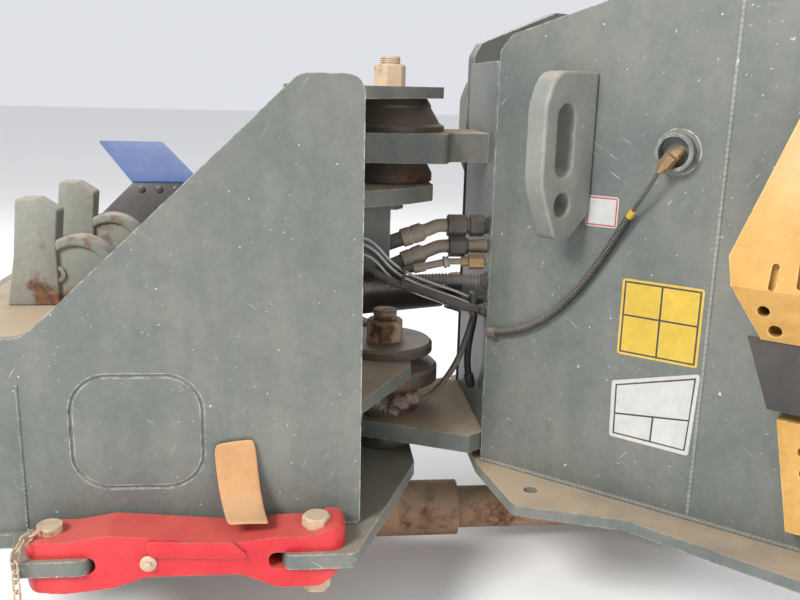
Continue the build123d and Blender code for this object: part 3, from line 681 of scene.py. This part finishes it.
# Pipes, elbows and nuts on the nose plate; nuts run from one x to the next
nosePlate = 180
hoseEnds = {
    "upper": {"hose": (38, -100, -270), "bend": (73, -100, -258), "elbow": (85, -100, -251),
              "nuts": ((104, 141), (146, 174))},
    "lower": {"hose": (40, -104, -311), "bend": (76, -103, -296), "elbow": (91, -101, -290), "nuts": ((108, 140),)}}
hoseEndShape = {"ferrule": ((0, 15.5), (1.5, 17.5), (17, 17.5), (18, 16.4), (22, 16.4), (23, 17.5), (40, 17.5),
                            (42, 15), (46, 13)),
                "back": 20, "pipe": 12.5, "straight": (112, 145), "flats": 36,
                "shoulder": ((0, 15.5), (4, 15.5), (5, 14))}


def makeRearPipes():
    h = hoseEndShape
    ferrules, nuts = [], []
    for end in hoseEnds.values():
        hose, bend, elbow = (Vector(end[key]) for key in ("hose", "bend", "elbow"))
        y, z = elbow[1:]
        ahead = (bend - hose).normalized()
        ferrules.append(fitting(h["ferrule"], hose - ahead * h["back"], hose + ahead * 30))
        pipe = [hose + ahead * h["back"], bend, elbow] + [(x, y, z) for x in (*h["straight"], nosePlate)]
        ferrules.append(pipePiece(pipe, h["pipe"]))
        for start, stop in end["nuts"]:
            nuts.append(fitting(h["flats"], (start, y, z), (stop, y, z)))
            nuts.append(fitting(h["shoulder"], (stop, y, z), (stop + 5, y, z)))
    joined("hoseFerrules", ferrules, "dustySteel", "rear_frame")
    joined("hoseNutsRear", nuts, "darkPaint", "rear_frame")


# The small hose's end, with its steel pipe
smallEnd = {"hose": (53, -130, -325), "joint": (95, -130, -316), "back": 14,
            "ferrule": ((0, 8), (1, 9.4), (22, 9.4), (24, 7), (56, 7)), "radius": 6,
            "pipe": ((106, -130, -314), (125, -130, -313.5), (150, -130, -314), (nosePlate, -130, -314))}
smallFittings = {
    "smallHoseRing": {"finish": "greyWire", "parts": (
        (((0, 10), (1.5, 11.5), (5, 11.5), (6, 9.5), (8, 9.5), (9.5, 11.5), (11, 10)), (95, -130, -316),
         (106, -130, -314)),)},
    "smallHoseNut": {"finish": "brass", "parts": (
        (26, (141, -130, -314), (170, -130, -314)),
        (((0, 9), (12, 9), (14, 7)), (128, -130, -314), (142, -130, -314)))},
}
plateGlands = {"loomConduit": 11, "greyConduit": 14.5, "greaseHose": 9}


def makeSmallHoseEnd():
    s = smallEnd
    hose, joint = Vector(s["hose"]), Vector(s["joint"])
    steel = [fitting(s["ferrule"], hose - (joint - hose).normalized() * s["back"], joint),
             pipePiece(s["pipe"], s["radius"])]
    joined("smallHoseFerrule", steel, "dustySteel", "rear_frame")
    makeFittings(smallFittings)


# Glands where the conduits and the grease hose go through the nose plate
def makePlateGlands():
    glands = []
    for cord, reach in plateGlands.items():
        x, y, z = cords[cord]["route"][-1]
        rings = ((0, reach - 1), (1, reach), (7, reach), (8, reach + 3), (12, reach + 3))
        glands.append(fitting(rings, (x - 4, y, z), (nosePlate + 1, y, z)))
    joined("nosePlateGlands", glands, "darkPaint", "rear_frame")


# Grease fitting of the lower bearing
greaseFittings = {
    "greaseFitting": {"finish": "rustySteel", "parts": (
        (17, (0, -92, -600), (0, -108, -600)),
        (((0, 6.5), (2, 8), (20, 8), (22, 6.8), (30, 6.8), (32, 8), (52, 8), (54, 6.5)), (-14, -100, -600),
         (40, -100, -600)))},
}

makeFrontNuts()
makeRearPipes()
makeSmallHoseEnd()
makePlateGlands()
makeFittings(greaseFittings)
print("hose ends made")


# Cable outlet on the near rear plate, at (along, up), with the lead's fittings
outlet = {"at": (556, -90), "rim": 31, "hole": 24, "tall": 25, "floor": 5, "boot": ((154, -125, -396), (11, 22, 46))}
leadFittings = {
    "outletFitting": {"finish": "brass", "parts": (
        (((0, 8), (12, 8), (13, 9.5), (19, 9.5), (20, 8), (24, 8)), (425, -381, -86), (405, -388, -98)),
        (19, (407, -387, -96), (396, -382.5, -112)),
        (((0, 7.5), (8, 7), (14, 4.5)), (397, -383, -110), (389, -379, -124), 18))},
    "leadSleeve": {"finish": "plateYellow", "parts": (
        (((0, 3.2), (1, 5.5), (13, 5.8), (16, 5.2), (17, 4)), (369.5, -342.5, -187), (365.5, -333, -201), 18),)},
    "leadClip": {"finish": "darkPaint", "parts": (
        (((0, 8), (2, 10), (14, 10), (16, 8)), (190, -181, -438), (176, -170, -440)),
        (15, (176, -170, -440), (181, -160, -440)))},
}


def makeOutlet():
    o = outlet
    rim, hole, tall, floor = o["rim"], o["hole"], o["tall"], o["floor"]
    wall = [(0, rim + 6), (2, rim + 3), (floor, rim), (tall - 2, rim), (tall, rim - 2), (tall, hole + 1),
            (tall - 2, hole), (floor + 1, hole), (floor, 2)]
    boss = ringsPiece(wall, faceFrame() @ Matrix.Translation((*o["at"], 0)), 40)
    joined("cableOutlet", [boss], "chassisPaint", "rear_frame")
    makeFittings(leadFittings)
    joined("wireBoot", [blockPiece(*o["boot"], 3, pivotFrame)], "ribbedBlack", "rear_frame")


makeOutlet()
print("cable outlet made")


# Moulded access step, the rail below it and the rubber flap between them.
# A section is (out, up), a side (along, up), a hole (along, up, radius), a slot (along, its low and high end)
step = {
    "start": 664, "end": 960, "bulkhead": 758,
    "parts": {
        "accessStep": {"section": ((0.3, -20), (45, -18), (110, -225), (110, -268), (62, -352), (0.3, -352)),
                       "side": ((742, -10), (676, -225), (683, -268), (728, -360), (970, -360), (970, -10)),
                       "holes": ((728, -303, 9), (744, -334, 10)),
                       "slots": ((738, -268, -228), (775, -262, -60), (835, -262, -60))},
        "lowerRail": {"section": ((0.3, -476), (45, -476), (45, -652), (0.3, -652)),
                      "side": ((756, -470), (792, -660), (970, -660), (970, -470)),
                      "holes": ((801, -519, 9), (807, -553, 9), (813, -588, 9)), "slots": ()}},
    "flap": ((704, -352), (744, -459), (960, -460), (960, -352)), "flapOut": 50, "flapThick": 8}


# Keep only what lies on the machine's side of the bulkhead
def trimRear(piece):
    bpy.context.view_layer.objects.active = piece
    bpy.ops.object.select_all(action="DESELECT")
    piece.select_set(True)
    editAll()
    bpy.ops.mesh.bisect(plane_co=fromPivot(step["bulkhead"], 0, 0), plane_no=(1, 0, 0), use_fill=True,
                        clear_outer=True)
    bpy.ops.object.mode_set(mode="OBJECT")


def stepPart(part):
    s = step
    body = outlinePiece(part["section"], s["end"] - s["start"], sectionFrame(s["start"]), 0)
    cutWith(body, outlinePiece(part["side"], 130, faceFrame(-5), 0), "INTERSECT")
    for along, up, reach in part["holes"]:
        place = faceFrame() @ Matrix.Translation((along, up, 0))
        cutWith(body, ringsPiece([(30, reach), (140, reach)], place, 20), "DIFFERENCE")
    for along, low, high in part["slots"]:
        corners = [(along - 5, low, 5), (along + 5, low, 5), (along + 8, high, 5), (along - 2, high, 5)]
        cutWith(body, outlinePiece(rounded(corners), 60, faceFrame(96), 0), "DIFFERENCE")
    trimRear(body)
    soften(body, 0.005, 4, 25)
    closeUp()
    return body


def makeStep():
    shapes = {name: stepPart(part) for name, part in step["parts"].items()}
    for name, shape in shapes.items():
        joined(name, [shape], "yellowStep", "rear_frame")
    flap = outlinePiece(step["flap"], step["flapThick"], faceFrame(step["flapOut"]), 0)
    trimRear(flap)
    joined("stepFlap", [flap], "flapRubber", "rear_frame")


makeStep()
print("step made")


# Locking bar, stowed along the near side; slots open at its ends, the holes take the pin and the bolt
bar = {"x0": -589, "x1": -95, "low": -775.5, "high": -687.8, "mid": -728.4, "gap": 27.3, "waist": 25, "crest": 10,
       "y": -420, "halfWidth": 38, "holes": (-555, -141), "hole": 15, "slotPin": -480, "slotBolt": -216,
       "bandThick": 7, "stud": ((0, 13), (3, 13), (5, 10), (6, 7), (11, 6.5), (12, 4)), "studX": -400}


def makeLockBar():
    b = bar
    x0, x1, low, high, mid, waist = b["x0"], b["x1"], b["low"], b["high"], b["mid"], b["waist"]
    y, halfWidth = b["y"], b["halfWidth"]
    front = y - halfWidth
    side = rounded([(x0, low + 6, 22), (x0 + 60, low, 20), (x0 + 136, low + 8, 20), (x0 + 184, mid - waist + 3, 30),
                    (x1 - 165, mid - waist + 3, 30), (x1 - 105, low, 30), (x1 - 40, low, 20), (x1, low + 34, 14),
                    (x1, high + 12, 14), (x1 - 26, high + 10, 10), (x1 - 48, high, 16), (x1 - 108, high, 30),
                    (x1 - 164, mid + waist + 8, 40), (x0 + 128, high + b["crest"], 40), (x0 + 70, high, 20),
                    (x0, high, 20)])
    body = outlinePiece(side, 2 * halfWidth, uprightFrame(y + halfWidth), 0)
    plan = rounded([(x, across, 26) for x, across in boxed(x0, front, x1, y + halfWidth)], 8)
    cutWith(body, outlinePiece(plan, 200, pivotFrame @ Matrix.Translation((0, 0, low - 50)), 0), "INTERSECT")
    for end, deep in ((x0 - 40, b["slotPin"]), (x1 + 40, b["slotBolt"])):
        under, over = mid - b["gap"] / 2, mid + b["gap"] / 2
        slot = rounded([(end, under, 0), (deep, under, 12), (deep, over, 12), (end, over, 0)])
        cutWith(body, outlinePiece(slot, 200, uprightFrame(y + 100), 0), "DIFFERENCE")
    for x in b["holes"]:
        place = pivotFrame @ Matrix.Translation((x, y, mid))
        cutWith(body, ringsPiece([(-150, b["hole"]), (150, b["hole"])], place, 24), "DIFFERENCE")
    soften(body, 0.0045, 3, 32)
    closeUp()
    raised = rounded([(-405, high - 1, 6), (-270, high - 5, 6), (-241, mid + 6, 6), (-395, mid + 13, 6)])
    band = outlinePiece(raised, b["bandThick"], uprightFrame(front + 1), 2.0)
    foot = Vector((b["studX"], front, mid + 2))
    stud = fitting(b["stud"], foot, foot - Vector((0, 12, 0)), 20)
    piece = joined("lockBar", [body, band], "redPaint", "front_frame")
    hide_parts("lock_bar")
    joined("lockBarStud", [stud], "rustySteel", "front_frame")


makeLockBar()
print("lock bar made")


# Slotted lifting eyes on both rear plates, turned to the 3-4-5 angle. The outline starts on the plate,
# the slot is its centre, length and width, and the hole its centre and radius
eye = {"s": 379, "thick": 38, "sink": 6, "slot": (-72, -79, 116, 44), "hole": (-70, -182, 20),
       "profile": ((0, -200, 0), (0, 30, 0), (-104, 30, 45), (-126, -25, 50), (-126, -150, 70), (-84, -240, 24),
                   (-44, -240, 24))}


def makeEyes():
    e = eye
    x, y = onPlate(e["s"], 0)[:2]
    plane = pivotFrame @ Matrix(((0.8, 0, 0.6, x), (0.6, 0, -0.8, y), (0, 1, 0, 0), (0, 0, 0, 1)))
    profile = rounded([(out + (0 if out else e["sink"]), up, radius) for out, up, radius in e["profile"]])
    body = outlinePiece(profile, e["thick"], plane, 0)
    out, up, long, wide = e["slot"]
    half, tall = wide / 2, long / 2
    slot = rounded([(*corner, half) for corner in boxed(out - half, up - tall, out + half, up + tall)], 10)
    cutWith(body, outlinePiece(slot, 120, plane @ Matrix.Translation((0, 0, -40)), 0), "DIFFERENCE")
    out, up, reach = e["hole"]
    place = plane @ Matrix.Translation((out, up, 0))
    cutWith(body, ringsPiece([(-40, reach), (80, reach)], place, 32), "DIFFERENCE")
    soften(body, 0.004, 3, 35)
    closeUp()
    for piece, name in ((body, "near"), (mirrored(body), "far")):
        joined("liftingEye" + name.capitalize(), [piece], "eyePaint", "rear_frame")
        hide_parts("lifting_eye_" + name)


makeEyes()
print("lifting eyes made")


# Cast skip pivots on the deck: a leaf, a web under an arched rim and a boss, from the bore's centre
saddle = {"x": -560, "z": -341, "y": -112, "deck": -391, "web": 62, "rim": (74, 56), "leafThick": 46,
          "leaf": ((-30, 62, 20), (-24, 118, 8), (-57, 139, 8), (-94, 139, 8), (-104, 40, 20)), "webThick": 30,
          "rimThick": 44, "boss": ((0, 16), (6, 15), (7, 9), (2, 8)), "bossAt": (-34, 6), "bossOut": (36, 46)}


def makeSaddles():
    s = saddle
    x, y, z, deck = s["x"], s["y"], s["z"], s["deck"]

    def arc(reach, degrees):
        return [(x + reach * math.cos(math.radians(a)), z + reach * math.sin(math.radians(a))) for a in degrees]

    corners = [(x - 120, deck, 0), (x - 30, deck, 0)] + [(x + across, z + up, r) for across, up, r in s["leaf"]]
    leaf = outlinePiece(rounded(corners), s["leafThick"], uprightFrame(y + 1), 4, 3)
    arch = [(x - 96, deck), (x + s["web"], deck)] + arc(s["web"], range(0, 136, 9))
    arch += [(x - 66, z + 70), (x - 92, z + 76)]
    web = outlinePiece(arch, s["webThick"], uprightFrame(y - 7), 3, 2)
    outer, inner = s["rim"]
    ring = arc(outer, range(12, 169, 6)) + arc(inner, range(168, 11, -6))
    collar = outlinePiece(ring, s["rimThick"], uprightFrame(y), 4, 3)
    across, up = s["bossAt"]
    foot, tip = ((x + across, y - out, z + up) for out in s["bossOut"])
    boss = fitting(s["boss"], foot, tip, 20)
    near = joined("skipPivotNear", [leaf, web, collar, boss], "castSteel", "front_frame")
    far = mirrored(near)
    far.name = "skipPivotFar"
    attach(far, "front_frame")
    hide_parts("skip_pivot_near")
    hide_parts("skip_pivot_far")


makeSaddles()
print("skip pivots made")


# Torn strap end that hangs on to the bar
strap = {"rows": ((-372, -566), (-376, -600), (-382, -636), (-392, -657), (-410, -668), (-430, -672), (-440, -673)),
         "left": (-306, -303, -299, -294, -288, -282, -278), "right": (-239, -236, -232, -228, -223, -218, -214),
         "thick": 0.005, "lift": 9, "curl": 2.5, "out": 3}


def makeStrap():
    s = strap
    rows = len(s["rows"])
    piece = startPrimitive(bpy.ops.mesh.primitive_grid_add, x_subdivisions=5, y_subdivisions=rows - 1,
                           size=2)
    for corner in piece.data.vertices:
        row = round((corner.co.y + 1) / 2 * (rows - 1))
        across = (corner.co.x + 1) / 2
        y, z = s["rows"][row]
        x = s["left"][row] + (s["right"][row] - s["left"][row]) * across
        curl = s["curl"] * math.sin(across * 3.1)
        lift = s["lift"] * across * (1 - row / (rows - 1)) + curl
        corner.co = (x, y - curl - s["out"], z + lift)
    piece.data.transform(pivotFrame)
    useModifier(piece, "SOLIDIFY", thickness=s["thick"], offset=0)
    useModifier(piece, "SUBSURF", levels=2, render_levels=2)
    closeUp(40)
    joined("strapEnd", [piece], "strapTan", "front_frame")


makeStrap()


# Keeper chain of the stowing pin, one link turned against the next
chain = {"stops": ((-567, -432, -679), (-589, -468, -683), (-593, -476, -706), (-593, -476, -906)),
         "links": 12, "pitch": 17, "wire": 1.8, "oval": 6.2, "straight": 4.5, "turn": 25}


def makeChain():
    c = chain
    stops = [Vector(stop) for stop in c["stops"]]
    spots, k, here = [], 0, stops[0]
    for i in range(c["links"] + 1):
        spots.append(here.copy())
        rest = c["pitch"]
        while k < len(stops) - 1 and (stops[k + 1] - here).length < rest:
            rest -= (stops[k + 1] - here).length
            here = stops[k + 1]
            k += 1
        here = here + (stops[k + 1] - here).normalized() * rest
    first = startPrimitive(bpy.ops.mesh.primitive_torus_add, major_radius=c["oval"], minor_radius=c["wire"],
                           major_segments=20, minor_segments=8)
    first.data.transform(Matrix.Rotation(math.radians(90), 4, "X"))
    for corner in first.data.vertices:
        corner.co.z += math.copysign(c["straight"], corner.co.z)
    bpy.ops.object.shade_smooth()
    links = []
    for i, (a, b) in enumerate(zip(spots, spots[1:])):
        link = copied(first)
        turn = Matrix.Rotation(math.radians(90 * (i % 2) + c["turn"]), 4, "Z")
        link.data.transform(alongLine(a, b) @ Matrix.Translation((0, 0, (b - a).length / 2)) @ turn)
        links.append(link)
    bpy.data.objects.remove(first)
    joined("keeperChain", links, "rustySteel", "front_frame")


makeChain()
print("strap and chain made")


# Bent guard on the far side plate; its upper flange is coloured blue, a painted reflection of the sky on dark gloss
# paint
guard = {"wall": ((-557, -228), (-645, -315), (-600, -366), (-380, -366), (-380, -228)), "face": 370, "thick": 9,
         "lip": ((-560, 369, -230), (-402, 369, -230), (-515, 536, -150), (-668, 536, -150)), "lipThick": 0.008,
         "headsX": (-540, -500, -462), "headsZ": -246, "head": ((0, 9), (3, 9), (5, 7), (6, 3))}


def makeGuard():
    g = guard
    wall = outlinePiece(g["wall"], g["thick"], uprightFrame(g["face"] + g["thick"]), 2)
    y, z = g["face"] + 2, g["headsZ"]
    heads = [fitting(g["head"], (x, y, z), (x, y - 10, z), 18) for x in g["headsX"]]
    lip = startPrimitive(bpy.ops.mesh.primitive_grid_add, x_subdivisions=6, y_subdivisions=4, size=2)
    a, b, c, d = (Vector(corner) for corner in g["lip"])
    for corner in lip.data.vertices:
        u, v = (corner.co.x + 1) / 2, (corner.co.y + 1) / 2
        corner.co = (a * (1 - u) + b * u) * (1 - v) + (d * (1 - u) + c * u) * v
    lip.data.transform(pivotFrame)
    useModifier(lip, "SOLIDIFY", thickness=g["lipThick"], offset=0)
    soften(lip, 0.002, 2, 40)
    closeUp()
    joined("farGuardWall", [wall] + heads, "darkPaint", "front_frame")
    # the flange takes the blue painted sky reflection
    joined("farGuardLip", [lip], "guardSkyReflection", "front_frame")


makeGuard()
print("guard made")


# Blank plates on the near rear plate: a sheet, a line round its fields and the fields, (along, up) in millimetres
signs = {
    "signSmall": {"finishes": ("plateWhite", "plateRed"), "sheet": boxed(410, -170, 467, -222),
                  "line": boxed(412, -172, 465, -220), "fields": (boxed(414.5, -174.5, 462.5, -217.5),)},
    "signYellow": {"finishes": ("plateYellow", "plateBlack"), "sheet": boxed(485, -303, 621, -435),
                   "line": boxed(489, -307, 617, -431),
                   "fields": (boxed(492, -310, 551.5, -364), boxed(554.5, -310, 614, -364),
                              boxed(492, -367, 551.5, -428), boxed(554.5, -367, 614, -428))},
    "signWhite": {"finishes": ("plateWhite", "plateBlack"),
                  "sheet": ((481, -485), (628, -443), (622, -588), (484, -586)),
                  "line": ((488, -490), (622, -451), (616, -581), (490, -580)),
                  "fields": (((491, -492), (619, -455), (616.5, -525), (492, -541)),
                             ((492, -544), (556, -536), (555, -577.5), (493, -577.2)),
                             ((559, -535.5), (616.3, -528), (613.5, -578.5), (558, -577.7)))},
}
signLayer = {"thick": 0.6, "lineOut": 0.15, "fieldOut": 0.3, "corner": 5}


def makeSigns():
    thick, lineOut, fieldOut, corner = signLayer.values()
    for name, sign in signs.items():
        edge = rounded([(*spot, corner) for spot in sign["sheet"]])
        sheet = outlinePiece(edge, thick, faceFrame(), 0.2, 1)
        line = outlinePiece(sign["line"], thick, faceFrame(lineOut), 0.15, 1)
        fields = [outlinePiece(spots, thick, faceFrame(fieldOut), 0.15, 1) for spots in sign["fields"]]
        joined(name + "Line", [line], sign["finishes"][1], "rear_frame")
        joined(name, [sheet] + fields, sign["finishes"][0], "rear_frame")


makeSigns()
print("blank plates made")


# Weld beads: start and end points, radius, body, pitch of the ripples and finish
welds = {
    "weldLedgeNear": (onPlate(236, -698, 1), onPlate(955, -698, 1), 5.5, "rear_frame", 8, "chassisPaint"),
    "weldEyeNear": (onPlate(379, 30), onPlate(379, -198), 5, "rear_frame", 7, "chassisPaint"),
    "weldPlateJoint": (onPlate(631, 160, -1), onPlate(631, -695, -1), 4.2, "rear_frame", 9, "eyePaint"),
    "weldBaseNear": ((-605, -371, -713.5), (-72, -371, -713.5), 4.5, "front_frame", 7, "chassisPaint"),
    "weldFrontJoint": ((-605, -369.5, -464), (-605, -369.5, -705), 3.2, "front_frame", 8, "chassisPaint"),
}


def makeWelds():
    for name, (start, end, radius, body, pitch, finishName) in welds.items():
        a, b = Vector(start), Vector(end)
        bead = tubeMesh(name, [fromPivot(*(a + (b - a) * (k / 6))) for k in range(7)], radius / 1000, pitch, 10)[0]
        bead.data.materials.append(finish(finishName))
        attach(bead, body)


makeWelds()
print("welds made")


# Thick grease pressed out round the lower bearing
grease = {"lumps": (((-20, -112, -600), (30, 18, 13)), ((18, -118, -596), (26, 16, 12)),
                    ((-46, -104, -606), (20, 14, 9)), ((46, -108, -590), (20, 16, 12)),
                    ((4, -122, -612), (18, 12, 9))),
          "grain": 0.012, "relief": 0.012}


def makeGrease():
    texture = bpy.data.textures.new("lumps", "CLOUDS")
    texture.noise_scale = grease["grain"]
    texture.noise_depth = 2
    shapes = []
    for centre, size in grease["lumps"]:
        lump = startPrimitive(bpy.ops.mesh.primitive_ico_sphere_add, subdivisions=4, radius=1)
        lump.data.transform(pivotFrame @ Matrix.Translation(centre) @ Matrix.Diagonal((*size, 1)))
        useModifier(lump, "DISPLACE", texture=texture, texture_coords="LOCAL", strength=grease["relief"],
                    mid_level=0.5)
        bpy.ops.object.shade_smooth()
        shapes.append(lump)
    joined("pressedGrease", shapes, "greasyIron", "rear_frame")


makeGrease()
print("grease made")


# Tie round the wires and the loom, its placement baked into its mesh like theirs
tie = {"ends": ((12, -172, -334), (39, -169, -343)), "reach": 16, "wire": 1.8, "stretch": (1.25, 1, 1.6),
       "head": ((0, 16, 0), (7, 6, 6), 1.2)}


def makeTie():
    t = tie
    ring = startPrimitive(bpy.ops.mesh.primitive_torus_add, major_radius=t["reach"],
                          minor_radius=t["wire"], major_segments=36, minor_segments=8)
    ring.data.transform(Matrix.Diagonal((*t["stretch"], 1)))
    bpy.ops.object.shade_smooth()
    ring.data.transform(alongLine(*t["ends"]))
    head = blockPiece(*t["head"], alongLine(*t["ends"]))
    crossing(merged("cableTie", [ring, head], "ribbedBlack"))


makeTie()
print("tie made")


# Threads on the pins' tips: radius of each pin's core, then the turns
threads = {"upper_pivot_pin": 18, "lower_pivot_pin": 22.5}
threadShape = {"foot": -12, "turns": 3, "pitch": 3.6, "turn": ((-11, 1.6), (-10, 1.6), (-8.6, 0.1)), "tip": (0.4, -2)}


def makeThreads():
    t = threadShape
    shapes = []
    for node, radius in threads.items():
        top = (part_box(node)[1][2] - pivot.z) * 1000
        rings = [(top + t["foot"], radius)]
        for turn in range(t["turns"]):
            rings += [(top + up + turn * t["pitch"], radius + out) for up, out in t["turn"]]
        rings.append((top + t["tip"][0], radius + t["tip"][1]))
        shapes.append(ringsPiece(rings, pivotFrame, 32))
    joined("pinThreads", shapes, "rustySteel", "front_frame")


makeThreads()
print("threads made")


# Cap at the low end of the loom drop
caps = {
    "dropCap": {"finish": "ribbedBlack", "parts": (
        (((0, 8), (2, 9.5), (24, 9.5), (30, 7), (32, 3)), (162, -73, -552), (169, -70.5, -580), 18),)},
}

makeFittings(caps)
print("drop cap made")


# Floor, backdrop and soft lights; a lamp is its place, power and size, and all face the middle.
# The backdrop lights the object with "sky", and the camera and gloss see it as "seen"
studio = {
    "floor": (0.92, 0.91, 0.89, 1), "floorRough": 0.9, "floorSize": 60, "drop": 0.002,
    "skyTone": (0.93, 0.95, 1.0, 1), "sky": 0.72, "seen": 0.80, "middle": (0.75, 0, 0.3),
    "lamps": {"key": ((-2.6, -3.4, 3.6), 390, 1.6), "fill": ((3.8, -3.0, 1.6), 80, 3.0),
              "rim": ((0.4, 3.2, 3.0), 80, 2.5)}}


# Pale floor that takes the object's shadow
def paleMaterial():
    material = bpy.data.materials.new("paleFloor")
    material.use_nodes = True
    tree = material.node_tree
    feed(tree, tree.nodes["Principled BSDF"], {"Base Color": studio["floor"], "Roughness": studio["floorRough"]})
    return material


def makeStudio():
    low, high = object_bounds()
    bpy.ops.object.select_all(action="DESELECT")
    bpy.ops.mesh.primitive_plane_add(size=studio["floorSize"], location=(0.7, 0, low.z - studio["drop"]))
    floor = bpy.context.object
    floor.name = "floor"
    floor.data.materials.append(paleMaterial())
    world = bpy.data.worlds.new("studio")
    scene.world = world
    world.use_nodes = True
    tree = world.node_tree
    rays = addNode(tree, "ShaderNodeLightPath")
    seen = math2(tree, "MAXIMUM", rays.outputs["Is Camera Ray"], rays.outputs["Is Glossy Ray"])
    strength = ramp(tree, seen, 0.0, 1.0, studio["sky"], studio["seen"])
    feed(tree, tree.nodes["Background"], {"Color": studio["skyTone"], "Strength": strength})
    for name, (place, power, size) in studio["lamps"].items():
        data = bpy.data.lights.new(name, "AREA")
        data.energy, data.size = power, size
        lamp = linked(bpy.data.objects.new(name, data))
        lamp.location = Vector(place)
        lamp.rotation_mode = "QUATERNION"
        lamp.rotation_quaternion = (Vector(studio["middle"]) - Vector(place)).to_track_quat("-Z", "Y")


makeStudio()
